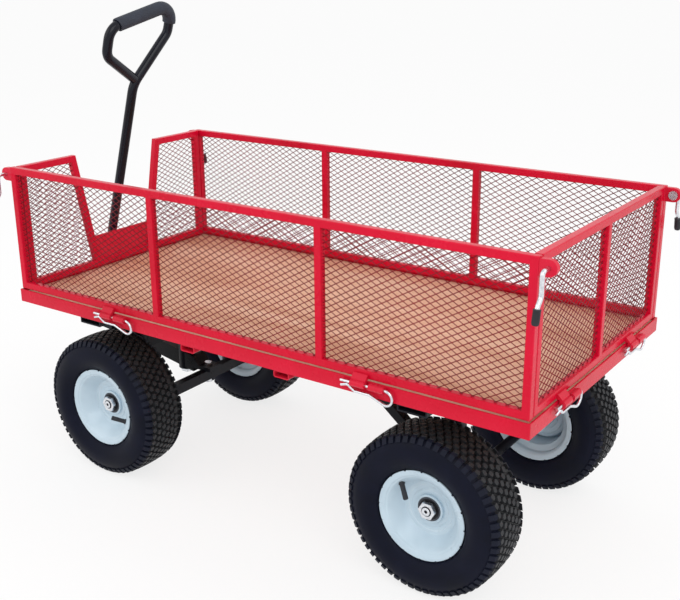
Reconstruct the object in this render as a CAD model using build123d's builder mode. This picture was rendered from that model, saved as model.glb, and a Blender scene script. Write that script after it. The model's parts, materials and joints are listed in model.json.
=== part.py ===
from build123d import *
import os
from math import atan2, cos, degrees, pi, radians, sin, tan

os.makedirs("parts", exist_ok=True)

# Driving dimensions in millimetres: +X forward, +Y left, +Z up, origin on the ground below the deck centre

# Deck and its angle-iron frame
frame_length = 1240.0
frame_width = 608.0
frame_height = 28.0
frame_wall = 3.0
frame_shelf = 30.0
frame_edge_radius = 1.0
frame_corner_radius = 2.0
deck_thickness = 18.0
deck_clearance = 1.0
deck_edge = 0.6
screw_radius = 3.0
screw_head_radius = 6.0
screw_head_height = 4.0
screw_bite = 12.0
screw_tip_gap = 1.0
screw_spread = 438.0

# Wheels and axles
tyre_radius = 160.0
tyre_width = 120.0
tyre_clearance = 58.0
axle_overhang = 209.0
track_inset = 69.0
axle_radius = 10.0
axle_chamfer = 1.5
axle_stub = 28.0
hub_inboard = 42.0
hub_outboard = 16.0
shoulder_step = 4.0
shoulder_gap = 0.3
washer_rim = 3.5
washer_gap = 0.2
washer_thickness = 2.0
nut_wall = 5.0
nut_height = 8.0
running_clearance = 0.05

# Tyre, dished rim, bearings and valve in the wheel's half section: widths from its mid plane, then radii
rim_half = 46.5
flange_radius = 88.3
flange_inner = 43.5
flange_foot = 79.0
flange_lip = 78.0
bead_radius = 76.2
bead_gap = 0.1
bead_edge = 41.0
bead_toe = 34.0
seat_half = 28.0
well_half = 22.0
well_radius = 64.0
well_slant = 2.3
rim_wall = 3.0
tyre_wall = 9.0
tread_wall = 10.0
sidewall_foot = 91.0
belly_radius = 117.0
belly_inset = 0.8
shoulder_inset = 6.0
shoulder_drop = 13.0
turn_inset = 10.5
turn_drop = 5.6
crown_inset = 18.0
crown_drop = 2.7
dish_mouth = (44.0, 72.0)
dish_foot = (15.0, 55.0)
dish_wall = 2.2
disc_face = 11.0
disc_radius = 52.0
groove_outer = 46.0
groove_inner = 36.0
groove_depth = 1.5
hub_wall = 4.5
bearing_radius = 23.5
bearing_width = 14.0
hub_bore = 20.0
valve_radius = 4.5
valve_length = 32.0
valve_along = 24.0
valve_root = 6.0
valve_ring = 2.0
valve_ring_gap = 1.5
valve_ring_height = 3.0
valve_chamfer = 1.0
valve_angles = {"front_left": 199, "front_right": 120, "rear_left": 46, "rear_right": 200}

# Side panels
panel_height = 273.0
panel_gap = 2.0
panel_tube = 15.0
tube_wall = 1.5
tube_edge_radius = 2.0
long_panel_inset = 4.0
end_panel_inset = 4.0
corner_gap = 2.0
long_panel_bays = 3
rear_panel_bays = 2
mesh_thickness = 2.0
mesh_long_way = 49.0
mesh_short_way = 35.0
mesh_strand = 3.0
vent_radius = 2.5
tab_top_drop = 6.0
tab_lift = 1.5
tab_crest = 2.5
tab_lip = 3.0
tab_nose = 5.4

# Notch of the front panel
notch_top_half = 128.0
notch_base_half = 90.0
notch_plate_height = 58.0
notch_plate_thickness = 3.0

# Panel hinges and their spring clips
hinge_drop = 6.0
barrel_standoff = 0.7
barrel_wall = 4.0
barrel_length = 30.0
barrel_gap = 9.0
long_hinge_spacing = 632.0
end_hinge_spacing = 320.0
barrel_web = 10.0
clip_wire_radius = 2.5
clip_lean = 94.0
clip_tail = 22.0
clip_loop_radius = 14.0
clip_loop_reach = 16.0
clip_loop_drop = 35.0
clip_knee = 3.0
clip_sag = 7.0
clip_heel = 6.5
clip_pinch = 7.5
clip_gap = 0.5
clip_flick = 14.0
clip_flick_drop = 4.0
clip_bend = 7.0

# Corner latches
latch_drop = 16.5
latch_setback = 16.0
lug_radius = 14.0
lug_thickness = 10.0
lug_recess = 2.0
latch_rod_radius = 4.0
collar_rim = 5.0
collar_thickness = 3.0
collar_gap = 0.4
lever_reach = 20.0
lever_drop = 40.0
lever_knee_out = 11.0
lever_knee_drop = 51.5
lever_flare = 16.0
lever_length = 78.0
lever_turn = 7.0
lever_sweep = 12.0
grip_length = 26.0
grip_wall = 2.5
grip_cap = 2.0
grip_round = 2.0

# Undercarriage
cross_tube_x = 118.0
cross_tube_width = 36.0
cross_tube_height = 14.0
cross_tube_wall = 2.0
cross_tube_inset = 2.0
bolster_width = 60.0
bolster_shift = 11.0
leg_size = 25.0
leg_clearance = 12.5
leg_foot = 18.0
brace_size = 20.0
brace_run = 212.0
brace_bend = 25.0
post_size = 30.0
post_inset = 60.0
beam_size = 30.0
beam_base = 102.0
king_clearance = 7.0
king_radius = 9.0
king_housing_wall = 8.0
king_housing_length = 54.0
turn_gap = 0.5
king_pin_stand = 10.0
pin_collar_rim = 6.0
pin_collar_height = 6.0

# Steering linkage and tongue
knuckle_radius = 18.0
knuckle_drop = 25.0
steer_arm = 66.0
arm_thickness = 10.0
arm_width = 24.0
arm_rise = 14.0
link_bolt_radius = 5.0
link_head_radius = 9.0
link_head_height = 6.0
link_nut_height = 8.0
link_gap = 0.4
tie_rod_height = 24.0
tie_rod_width = 20.0
tie_rod_gap = 1.5
tongue_width = 40.0
tongue_height = 38.0
tongue_wall = 3.0
tongue_slope = 10.2
tongue_rise = 11.5
king_bolt_radius = 10.0
boss_radius = 22.0
boss_skirt = 7.0
tail_behind = 23.0
tail_step = 12.0
tail_ahead = 30.0
tube_setback = 31.0
king_head_radius = 17.0
king_head_height = 12.0
king_nut_height = 9.0
king_nut_gap = 0.4

# Drawbar
pivot_ahead = 93.6
pivot_rise = 86.0
pivot_radius = 6.0
eye_radius = 16.0
ear_thickness = 6.0
ear_margin = 6.0
ear_back = 40.0
ear_gap = 0.4
stop_radius = 5.0
stop_reach = 35.0
stop_gap = 0.3
bolt_head_radius = 10.0
bolt_head_height = 7.0
stem_lean = 16.8
stem_radius = 11.0
stem_wall = 2.0
stem_length = 612.0
loop_low_left = 686.0
loop_low_right = 728.0
loop_top = 750.0
loop_rise = 46.0
loop_right = -85.0
loop_left = 95.0
loop_corner = 34.0
shoulder_turn = 60.0
low_turn = 30.0
weld_turn = 30.0
join_height = 718.0
weld_height = 625.0
handle_grip_wall = 4.0
handle_grip_turn = 9.0

# Places worked out from the sizes above
axle_z = tyre_radius
axle_x = frame_length / 2 - axle_overhang
wheel_y = frame_width / 2 - track_inset
wheel_inner = wheel_y - tyre_width / 2
leg_y = wheel_inner - leg_size / 2 - leg_clearance
king_y = wheel_inner - knuckle_radius - king_clearance
post_y = king_y - post_inset
shoulder_radius = axle_radius + shoulder_step
washer_radius = axle_radius + washer_rim
nut_across = 2 * (axle_radius + nut_wall)
hub_radius = bearing_radius + hub_wall
barrel_radius = clip_wire_radius + barrel_wall
hinge_offset = barrel_radius + barrel_standoff
collar_radius = latch_rod_radius + collar_rim
grip_radius = latch_rod_radius + grip_wall
handle_grip_radius = stem_radius + handle_grip_wall
king_housing_radius = king_radius + king_housing_wall
pin_collar_radius = king_radius + pin_collar_rim
frame_bottom = 2 * tyre_radius + tyre_clearance
frame_top = frame_bottom + frame_height
deck_bottom = frame_bottom + frame_wall
panel_bottom = frame_top + panel_gap
panel_top = panel_bottom + panel_height
bay_bottom = panel_bottom + panel_tube
bay_top = panel_top - panel_tube
long_face = frame_width / 2 - long_panel_inset
end_face = frame_length / 2 - end_panel_inset
long_panel_length = 2 * end_face
end_panel_length = 2 * (long_face - panel_tube - corner_gap)
hinge_z = frame_top - hinge_drop
under_frame = frame_bottom - cross_tube_height
latch_z = panel_top - latch_drop


def save(piece, name):
    piece.part.label = name
    export_step(piece.part, f"parts/{name}.step")


def side_plane(outward, along, face):
    return Plane(origin=tuple(face * part for part in outward), x_dir=along, z_dir=outward)


# Each side's plane lies on its panel's outer face, seen from outside, with its own x to the right
sides = {
    "left": side_plane((0, 1, 0), (-1, 0, 0), long_face),
    "right": side_plane((0, -1, 0), (1, 0, 0), long_face),
    "rear": side_plane((-1, 0, 0), (0, -1, 0), end_face),
    "front": side_plane((1, 0, 0), (0, 1, 0), end_face),
}
hinge_reach = {
    "left": long_panel_inset + hinge_offset,
    "right": long_panel_inset + hinge_offset,
    "rear": end_panel_inset + hinge_offset,
    "front": end_panel_inset + hinge_offset,
}
hinge_places = {
    "left": (-long_hinge_spacing / 2, long_hinge_spacing / 2),
    "right": (-long_hinge_spacing / 2, long_hinge_spacing / 2),
    "rear": (-end_hinge_spacing / 2, end_hinge_spacing / 2),
    "front": (-end_hinge_spacing / 2, end_hinge_spacing / 2),
}


def section_plane(side, along):
    """Plane across a side: x points outward from the panel's face, y up."""
    return Plane(origin=side.from_local_coords((along, 0, 0)), x_dir=side.z_dir, z_dir=-side.x_dir)


# Deck frame: angle iron with a shelf for the board
with BuildPart() as deck_frame:
    with BuildSketch(Plane.XY.offset(frame_bottom)):
        Rectangle(frame_length, frame_width)
        Rectangle(frame_length - 2 * frame_wall, frame_width - 2 * frame_wall, mode=Mode.SUBTRACT)
    extrude(amount=frame_height)
    corners = deck_frame.edges().filter_by(Axis.Z).filter_by_position(
        Axis.X, frame_length / 2 - frame_wall / 2, frame_length / 2)
    corners += deck_frame.edges().filter_by(Axis.Z).filter_by_position(
        Axis.X, -frame_length / 2, -frame_length / 2 + frame_wall / 2)
    fillet(corners, radius=frame_corner_radius)
    fillet(deck_frame.faces().sort_by(Axis.Z)[-1].outer_wire().edges(), radius=frame_edge_radius)
    with BuildSketch(Plane.XY.offset(frame_bottom)):
        Rectangle(frame_length - 2 * frame_wall, frame_width - 2 * frame_wall)
        Rectangle(frame_length - 2 * frame_shelf, frame_width - 2 * frame_shelf, mode=Mode.SUBTRACT)
    extrude(amount=frame_wall)
save(deck_frame, "deck_frame")

# Deck screws come up through the red cross tubes into the board
screw_grid = (2 * cross_tube_x, screw_spread)
with BuildPart() as deck_board:
    board_inset = 2 * (frame_wall + deck_clearance)
    with BuildSketch(Plane.XY.offset(deck_bottom)):
        Rectangle(frame_length - board_inset, frame_width - board_inset)
    extrude(amount=deck_thickness)
    chamfer(deck_board.faces().sort_by(Axis.Z)[-1].edges(), length=deck_edge)
    with BuildSketch(Plane.XY.offset(deck_bottom)):
        with GridLocations(*screw_grid, 2, 2):
            Circle(screw_radius + running_clearance)
    extrude(amount=screw_bite, mode=Mode.SUBTRACT)
save(deck_board, "deck_board")

with BuildPart() as deck_screws:
    with BuildSketch(Plane.XY.offset(under_frame)):
        with GridLocations(*screw_grid, 2, 2):
            RegularPolygon(screw_head_radius, 6)
    extrude(amount=-screw_head_height)
    with BuildSketch(Plane.XY.offset(under_frame)):
        with GridLocations(*screw_grid, 2, 2):
            Circle(screw_radius)
    extrude(amount=deck_bottom + screw_bite - under_frame - screw_tip_gap)
save(deck_screws, "deck_screws")

# Cross tubes below the shelf, with open ends
cross_tube_mid = under_frame + cross_tube_height / 2
cross_tube_length = frame_width - 2 * cross_tube_inset
cross_plane = Plane(origin=(0, -cross_tube_length / 2, cross_tube_mid), x_dir=(1, 0, 0), z_dir=(0, -1, 0))
with BuildPart() as cross_tubes:
    with BuildSketch(cross_plane):
        with GridLocations(2 * cross_tube_x, 0, 2, 1):
            RectangleRounded(cross_tube_width, cross_tube_height, 2 * cross_tube_wall)
            RectangleRounded(cross_tube_width - 2 * cross_tube_wall, cross_tube_height - 2 * cross_tube_wall,
                             cross_tube_wall, mode=Mode.SUBTRACT)
    extrude(amount=-cross_tube_length)
    with BuildSketch(Plane.XY.offset(under_frame)):
        with GridLocations(*screw_grid, 2, 2):
            Circle(screw_radius + running_clearance)
    extrude(amount=cross_tube_height, mode=Mode.SUBTRACT)
save(cross_tubes, "cross_tubes")

# Bolsters carry the rear axle's legs and the front beam's posts
bolster_mid_x = axle_x - bolster_shift
for end, sign in (("front", 1), ("rear", -1)):
    bolster_plane = Plane(origin=(sign * bolster_mid_x, -long_face, cross_tube_mid), x_dir=(1, 0, 0),
                          z_dir=(0, -1, 0))
    with BuildPart() as bolster:
        with BuildSketch(bolster_plane):
            RectangleRounded(bolster_width, cross_tube_height, cross_tube_wall)
            Rectangle(bolster_width - 2 * frame_wall, cross_tube_height - 2 * frame_wall, mode=Mode.SUBTRACT)
        extrude(amount=-2 * long_face)
    save(bolster, f"{end}_bolster")

# Rear axle bar with shoulders for the inner bearings
hub_inner = wheel_y - hub_inboard
hub_outer = wheel_y + hub_outboard
axle_end = wheel_y + axle_stub
rear_axle_plane = Plane(origin=(-axle_x, 0, axle_z), x_dir=(1, 0, 0), z_dir=(0, 1, 0))
with BuildPart() as rear_axle:
    with BuildSketch(rear_axle_plane):
        Circle(axle_radius)
    extrude(amount=axle_end, both=True)
    chamfer(rear_axle.faces().filter_by(Axis.Y).edges(), length=axle_chamfer)
    for sign in (1, -1):
        with BuildSketch(rear_axle_plane.offset(sign * (leg_y + leg_size / 2))):
            Circle(shoulder_radius)
        extrude(amount=sign * (hub_inner - shoulder_gap - leg_y - leg_size / 2))
save(rear_axle, "rear_axle")

# Rear legs hang from the bolster and are drilled for the axle
with BuildPart() as rear_legs:
    with BuildSketch(Plane.XY.offset(axle_z - leg_foot)):
        for sign in (1, -1):
            with Locations((-axle_x, sign * leg_y)):
                RectangleRounded(leg_size, leg_size, tube_edge_radius)
    extrude(amount=under_frame - axle_z + leg_foot)
    with BuildSketch(rear_axle_plane):
        Circle(axle_radius + running_clearance)
    extrude(amount=frame_width / 2, both=True, mode=Mode.SUBTRACT)
save(rear_legs, "rear_legs")

# Rear braces: square bar bent from the cross tube down to the leg
brace_z = under_frame - brace_size / 2
brace_knee_x = -axle_x + leg_size / 2 + brace_run
brace_foot_x = -axle_x + leg_size / 2
brace_foot_z = axle_z + brace_size
brace_slope = atan2(brace_z - brace_foot_z, brace_knee_x - brace_foot_x)
with BuildPart() as rear_braces:
    for sign in (1, -1):
        brace_plane = Plane(origin=(0, sign * leg_y, 0), x_dir=(1, 0, 0), z_dir=(0, -1, 0))
        with BuildLine(brace_plane) as brace_path:
            FilletPolyline((-cross_tube_x + cross_tube_width / 2, brace_z), (brace_knee_x, brace_z),
                           (brace_foot_x - brace_size, brace_foot_z - brace_size * tan(brace_slope)),
                           radius=brace_bend)
        with BuildSketch(Plane(origin=brace_path.line @ 0, x_dir=(0, 1, 0), z_dir=brace_path.line % 0)):
            RectangleRounded(brace_size, brace_size, tube_edge_radius)
        sweep()
    with BuildSketch(Plane.XY):
        with Locations((brace_foot_x - frame_width / 2, 0)):
            Rectangle(frame_width, frame_width)
    extrude(amount=under_frame, mode=Mode.SUBTRACT)
save(rear_braces, "rear_braces")

# Front beam with the two king pin housings at its ends
beam_bottom = axle_z + beam_base
beam_top = beam_bottom + beam_size
housing_bottom = beam_bottom + beam_size / 2 - king_housing_length / 2
with BuildPart() as front_beam:
    with BuildSketch(Plane.XY.offset(beam_bottom)):
        with Locations((axle_x, 0)):
            RectangleRounded(beam_size, 2 * king_y, tube_edge_radius)
    extrude(amount=beam_size)
    with BuildSketch(Plane.XY.offset(housing_bottom)):
        with Locations((axle_x, king_y), (axle_x, -king_y)):
            Circle(king_housing_radius)
    extrude(amount=king_housing_length)
    with BuildSketch(Plane.XY.offset(housing_bottom)):
        with Locations((axle_x, king_y), (axle_x, -king_y)):
            Circle(king_radius + running_clearance)
        with Locations((axle_x, 0)):
            Circle(king_bolt_radius + running_clearance)
    extrude(amount=king_housing_length, mode=Mode.SUBTRACT)
save(front_beam, "front_beam")

with BuildPart() as front_posts:
    with BuildSketch(Plane.XY.offset(beam_top)):
        with Locations((axle_x, post_y), (axle_x, -post_y)):
            RectangleRounded(post_size, post_size, tube_edge_radius)
            Rectangle(post_size - 2 * frame_wall, post_size - 2 * frame_wall, mode=Mode.SUBTRACT)
    extrude(amount=under_frame - beam_top)
save(front_posts, "front_posts")

# Steering knuckles: king pin, stub axle and a rearward arm each
knuckle_top = housing_bottom - turn_gap
arm_bottom = axle_z + arm_rise
link_x = axle_x - steer_arm
pin_top = housing_bottom + king_housing_length + king_pin_stand
for hand, sign in (("left", 1), ("right", -1)):
    king_place = (axle_x, sign * king_y)
    stub_plane = Plane(origin=(axle_x, sign * king_y, axle_z), x_dir=(1, 0, 0), z_dir=(0, sign, 0))
    with BuildPart() as knuckle:
        with BuildSketch(Plane.XY.offset(axle_z - knuckle_drop)):
            with Locations(king_place):
                Circle(knuckle_radius)
        extrude(amount=knuckle_top - axle_z + knuckle_drop)
        with BuildSketch(Plane.XY.offset(knuckle_top)):
            with Locations(king_place):
                Circle(king_radius)
        extrude(amount=pin_top - knuckle_top)
        with BuildSketch(stub_plane):
            Circle(axle_radius)
        extrude(amount=axle_end - king_y)
        chamfer(knuckle.faces().sort_by(Axis.Y)[-1 if sign > 0 else 0].edges(), length=axle_chamfer)
        with BuildSketch(stub_plane):
            Circle(shoulder_radius)
        extrude(amount=hub_inner - shoulder_gap - king_y)
        with BuildSketch(Plane.XY.offset(arm_bottom)):
            with Locations((axle_x - steer_arm / 2, sign * king_y)):
                SlotCenterToCenter(steer_arm, arm_width)
        extrude(amount=arm_thickness)
        with BuildSketch(Plane.XY.offset(arm_bottom)):
            with Locations((link_x, sign * king_y)):
                Circle(link_bolt_radius + running_clearance)
        extrude(amount=arm_thickness, mode=Mode.SUBTRACT)
    save(knuckle, f"{hand}_knuckle")

# Axle washers and nuts, and the collar on each king pin
def washer_ring():
    Circle(washer_radius)
    Circle(axle_radius + running_clearance, mode=Mode.SUBTRACT)


def nut_ring():
    RegularPolygon(nut_across / 2, 6, major_radius=False)
    Circle(axle_radius + running_clearance, mode=Mode.SUBTRACT)


washer_at = hub_outer + washer_gap
with BuildPart() as rear_axle_nuts:
    for sign in (1, -1):
        outward = Plane(origin=(-axle_x, 0, axle_z), x_dir=(1, 0, 0), z_dir=(0, sign, 0))
        with BuildSketch(outward.offset(washer_at)):
            washer_ring()
        extrude(amount=washer_thickness)
        with BuildSketch(outward.offset(washer_at + washer_thickness)):
            nut_ring()
        extrude(amount=nut_height)
save(rear_axle_nuts, "rear_axle_nuts")

for hand, sign in (("left", 1), ("right", -1)):
    outward = Plane(origin=(axle_x, 0, axle_z), x_dir=(1, 0, 0), z_dir=(0, sign, 0))
    with BuildPart() as knuckle_nuts:
        with BuildSketch(outward.offset(washer_at)):
            washer_ring()
        extrude(amount=washer_thickness)
        with BuildSketch(outward.offset(washer_at + washer_thickness)):
            nut_ring()
        extrude(amount=nut_height)
        with BuildSketch(Plane.XY.offset(housing_bottom + king_housing_length + shoulder_gap)):
            with Locations((axle_x, sign * king_y)):
                Circle(pin_collar_radius)
                Circle(king_radius + running_clearance, mode=Mode.SUBTRACT)
        extrude(amount=pin_collar_height)
    save(knuckle_nuts, f"{hand}_knuckle_nuts")

# Tie rod behind the axle, and its three bolts
tie_rod_top = arm_bottom - tie_rod_gap
tie_rod_bottom = tie_rod_top - tie_rod_height
link_places = [(link_x, y) for y in (king_y, 0, -king_y)]
with BuildPart() as tie_rod:
    with BuildSketch(Plane.XY.offset(tie_rod_bottom)):
        with Locations((link_x, 0)):
            SlotCenterToCenter(2 * king_y, tie_rod_width, rotation=90)
        with Locations(*link_places):
            Circle(link_bolt_radius + running_clearance, mode=Mode.SUBTRACT)
    extrude(amount=tie_rod_height)
save(tie_rod, "tie_rod")

link_top = arm_bottom + arm_thickness + link_gap
with BuildPart() as tie_rod_bolts:
    with BuildSketch(Plane.XY.offset(tie_rod_bottom - link_nut_height)):
        with Locations(*link_places):
            RegularPolygon(link_head_radius, 6)
    extrude(amount=link_nut_height)
    with BuildSketch(Plane.XY.offset(tie_rod_bottom)):
        with Locations(*link_places):
            Circle(link_bolt_radius)
    extrude(amount=link_top - tie_rod_bottom)
    with BuildSketch(Plane.XY.offset(link_top)):
        with Locations(*link_places):
            RegularPolygon(link_head_radius, 6)
    extrude(amount=link_head_height)
save(tie_rod_bolts, "tie_rod_bolts")

# Tongue: a sloping tube that turns on the king bolt, with a tail over the tie rod and a clevis in front
pivot_x = end_face + pivot_ahead
pivot_height = axle_z + pivot_rise
pivot_point = (pivot_x, 0, pivot_height)
slope = tan(radians(tongue_slope))
rise = tongue_height / cos(radians(tongue_slope))
tail_x = link_x - tail_behind
tail_cut_x = link_x + tail_ahead
tail_step_x = link_x + tail_step
tube_front_x = pivot_x - tube_setback
tail_top = arm_bottom + arm_thickness


def tongue_low(x):
    return axle_z + tongue_rise + slope * (x - axle_x)


lean_x = -sin(radians(stem_lean))
lean_z = cos(radians(stem_lean))
stop_offset = stem_radius + stop_radius + stop_gap
stop_x = pivot_x + stop_reach * lean_x - stop_offset * lean_z
stop_z = pivot_height + stop_reach * lean_z + stop_offset * lean_x
ear_inner = tongue_width / 2
ear_back_x = stop_x - ear_back
with BuildPart() as tongue:
    with BuildSketch(Plane.XZ):
        Polygon((tube_front_x, tongue_low(tube_front_x)), (tube_front_x, tongue_low(tube_front_x) + rise),
                (tail_cut_x, tongue_low(tail_cut_x) + rise), (tail_step_x, tail_top),
                (tail_x, tail_top), (tail_x, arm_bottom), (tail_cut_x, arm_bottom),
                (tail_cut_x, tongue_low(tail_cut_x)), align=None)
    extrude(amount=tongue_width / 2, both=True)
    hollow_x = axle_x - boss_radius / 2
    mouth_x = tube_front_x + tongue_wall
    with BuildSketch(Plane.XZ):
        Polygon((hollow_x, tongue_low(hollow_x) + tongue_wall), (mouth_x, tongue_low(mouth_x) + tongue_wall),
                (mouth_x, tongue_low(mouth_x) + rise - tongue_wall),
                (hollow_x, tongue_low(hollow_x) + rise - tongue_wall), align=None)
    extrude(amount=tongue_width / 2 - tongue_wall, both=True, mode=Mode.SUBTRACT)
    boss_bottom = tongue_low(axle_x) - boss_skirt
    with BuildSketch(Plane.XY.offset(boss_bottom)):
        with Locations((axle_x, 0)):
            Circle(boss_radius)
    extrude(amount=beam_bottom - turn_gap - boss_bottom)
    for sign in (1, -1):
        with BuildSketch(Plane.XZ.offset(-sign * ear_inner)):
            with Locations((pivot_x, pivot_height)):
                Circle(eye_radius + ear_margin)
            Polygon((pivot_x, pivot_height - eye_radius - ear_margin), (pivot_x, pivot_height),
                    (stop_x, stop_z), (ear_back_x, tongue_low(ear_back_x) + rise - ear_margin),
                    (ear_back_x, tongue_low(ear_back_x) + tongue_wall), align=None)
            make_hull()
            with Locations((pivot_x, pivot_height)):
                Circle(pivot_radius + running_clearance, mode=Mode.SUBTRACT)
        extrude(amount=-sign * ear_thickness)
    with BuildSketch(Plane.XZ):
        with Locations((stop_x, stop_z)):
            Circle(stop_radius)
    extrude(amount=ear_inner + ear_thickness / 2, both=True)
    with BuildSketch(Plane.XY.offset(boss_bottom - king_nut_gap)):
        with Locations((axle_x, 0)):
            Circle(king_bolt_radius + running_clearance)
        with Locations((link_x, 0)):
            Circle(link_bolt_radius + running_clearance)
    extrude(amount=beam_bottom - boss_bottom + king_nut_gap, mode=Mode.SUBTRACT)
save(tongue, "tongue")

# King bolt through the front beam and the tongue's boss
with BuildPart() as king_bolt:
    with BuildSketch(Plane.XY.offset(boss_bottom - king_nut_gap)):
        with Locations((axle_x, 0)):
            RegularPolygon(king_head_radius, 6)
    extrude(amount=-king_nut_height)
    with BuildSketch(Plane.XY.offset(boss_bottom - king_nut_gap)):
        with Locations((axle_x, 0)):
            Circle(king_bolt_radius)
    extrude(amount=beam_top - boss_bottom + king_nut_gap)
    with BuildSketch(Plane.XY.offset(beam_top)):
        with Locations((axle_x, 0)):
            RegularPolygon(king_head_radius, 6)
    extrude(amount=king_head_height)
save(king_bolt, "king_bolt")

# Drawbar: one bent tube, its loop welded back onto the stem, with a cross eye at the foot
drawbar_plane = Plane(origin=pivot_point, x_dir=(0, 1, 0), z_dir=(lean_z, 0, -lean_x))
main_route = [(0, 0), (0, stem_length), (loop_right, loop_low_right), (loop_right, loop_top + loop_rise),
              (loop_left, loop_top), (loop_left, join_height)]
main_turns = [shoulder_turn, low_turn, loop_corner, loop_corner]
back_route = [(loop_left, join_height), (loop_left, loop_low_left), (0, weld_height)]
eye_half = ear_inner - ear_gap
eye_plane = Plane(origin=pivot_point, x_dir=(1, 0, 0), z_dir=(0, 1, 0))
with BuildPart() as drawbar:
    for radius, mode in ((stem_radius, Mode.ADD), (stem_radius - stem_wall, Mode.SUBTRACT)):
        for route, turns in ((main_route, main_turns), (back_route, [weld_turn])):
            with BuildLine(drawbar_plane) as path:
                FilletPolyline(*route, radius=turns)
            with BuildSketch(Plane(origin=path.line @ 0, z_dir=path.line % 0)):
                Circle(radius)
            sweep(mode=mode)
        if mode == Mode.ADD:
            with BuildSketch(eye_plane):
                Circle(eye_radius)
            extrude(amount=eye_half, both=True)
    with BuildSketch(eye_plane):
        Circle(pivot_radius + running_clearance)
    extrude(amount=eye_half, both=True, mode=Mode.SUBTRACT)
save(drawbar, "drawbar")

# Grip sleeve: from the left corner along the sloping bar and round the right corner
bar_slope = atan2(loop_rise, loop_left - loop_right)
grip_slope = bar_slope + radians(handle_grip_turn)
left_run = loop_corner * tan((pi / 2 - bar_slope) / 2)
right_run = loop_corner * tan((pi / 2 + bar_slope) / 2)
bar_left = (loop_left - left_run * cos(bar_slope), loop_top + left_run * sin(bar_slope))
bar_right = (loop_right + right_run * cos(bar_slope), loop_top + loop_rise - right_run * sin(bar_slope))
grip_start = (bar_left[0] + loop_corner * (sin(grip_slope) - sin(bar_slope)),
              bar_left[1] + loop_corner * (cos(grip_slope) - cos(bar_slope)))
with BuildPart() as handle_grip:
    with BuildLine(drawbar_plane) as grip_path:
        JernArc(grip_start, (-cos(grip_slope), sin(grip_slope)), loop_corner, handle_grip_turn)
        Line(bar_left, bar_right)
        JernArc(bar_right, (-cos(bar_slope), sin(bar_slope)), loop_corner, 90 + degrees(bar_slope))
    with BuildSketch(Plane(origin=grip_path.line @ 0, z_dir=grip_path.line % 0)):
        Circle(handle_grip_radius)
        Circle(stem_radius + running_clearance, mode=Mode.SUBTRACT)
    sweep()
save(handle_grip, "handle_grip")

# Drawbar bolt across the clevis
ear_outer = ear_inner + ear_thickness
with BuildPart() as drawbar_bolt:
    with BuildSketch(eye_plane):
        Circle(pivot_radius)
    extrude(amount=ear_outer + bolt_head_height, both=True)
    for sign in (1, -1):
        with BuildSketch(eye_plane.offset(sign * ear_outer)):
            RegularPolygon(bolt_head_radius, 6)
        extrude(amount=sign * bolt_head_height)
save(drawbar_bolt, "drawbar_bolt")

# Panels: outline and bays of each side, in its own plane
notch_slope = (notch_top_half - notch_base_half) / (panel_top - bay_bottom - notch_plate_height)


def notch_half(height):
    return notch_base_half + notch_slope * (height - bay_bottom - notch_plate_height)


def box_points(low_x, high_x, low_y, high_y):
    return [(low_x, low_y), (high_x, low_y), (high_x, high_y), (low_x, high_y)]


def straight_bays(length, count):
    width = (length - (count + 1) * panel_tube) / count
    starts = [panel_tube - length / 2 + i * (width + panel_tube) for i in range(count)]
    return [box_points(start, start + width, bay_bottom, bay_top) for start in starts]


def front_bays():
    bar = panel_tube / cos(atan2(notch_slope, 1))
    post = end_panel_length / 2 - panel_tube
    bay = [(notch_half(bay_bottom) + bar, bay_bottom), (post, bay_bottom), (post, bay_top),
           (notch_half(bay_top) + bar, bay_top)]
    inner_low, post_low, post_top, inner_top = [(-x, y) for x, y in bay]
    return [bay, [post_low, inner_low, inner_top, post_top]]


def notched_outline():
    half = end_panel_length / 2
    right = [(half, panel_bottom), (half, panel_top), (notch_top_half, panel_top),
             (notch_half(bay_bottom), bay_bottom)]
    return right + [(-x, y) for x, y in reversed(right)]


long_outline = box_points(-long_panel_length / 2, long_panel_length / 2, panel_bottom, panel_top)
rear_outline = box_points(-end_panel_length / 2, end_panel_length / 2, panel_bottom, panel_top)
outlines = {"left": long_outline, "right": long_outline, "rear": rear_outline, "front": notched_outline()}
bays = {
    "left": straight_bays(long_panel_length, long_panel_bays),
    "right": straight_bays(long_panel_length, long_panel_bays),
    "rear": straight_bays(end_panel_length, rear_panel_bays),
    "front": front_bays(),
}
barrel_start = barrel_gap / 2


def panel_sketch(name):
    Polygon(*outlines[name], align=None)
    for bay in bays[name]:
        Polygon(*bay, align=None, mode=Mode.SUBTRACT)


def hinge_tab(reach):
    """Tab from the bottom rail's face down to the barrel's inner quarter."""
    low = frame_top + tab_lift
    top = bay_bottom - tab_top_drop
    nose = reach - tab_nose
    Polygon((0, top), (0, low), (nose, low), (nose, hinge_z + tab_lip), (reach, hinge_z),
            (reach, frame_top + tab_crest), (tab_lip, top), align=None)
    with Locations((reach, hinge_z)):
        Circle(barrel_radius)
        Circle(clip_wire_radius + running_clearance, mode=Mode.SUBTRACT)


for name, side in sides.items():
    normal = Axis((0, 0, 0), side.z_dir)
    with BuildPart() as panel_frame:
        with BuildSketch(side):
            panel_sketch(name)
        extrude(amount=-panel_tube)
        fillet(panel_frame.edges().filter_by(normal, reverse=True), radius=tube_edge_radius)
        with BuildSketch(side.offset(-tube_wall)):
            panel_sketch(name)
            offset(amount=-tube_wall, kind=Kind.INTERSECTION, mode=Mode.REPLACE)
        extrude(amount=2 * tube_wall - panel_tube, mode=Mode.SUBTRACT)
        for place in hinge_places[name]:
            with BuildSketch(Plane(origin=side.from_local_coords((place, panel_bottom, -panel_tube / 2)))):
                Circle(vent_radius)
            extrude(amount=panel_tube / 2, mode=Mode.SUBTRACT)
            with BuildSketch(section_plane(side, place - barrel_start)):
                hinge_tab(hinge_reach[name])
            extrude(amount=barrel_length)
    save(panel_frame, f"{name}_panel_frame")


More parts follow.
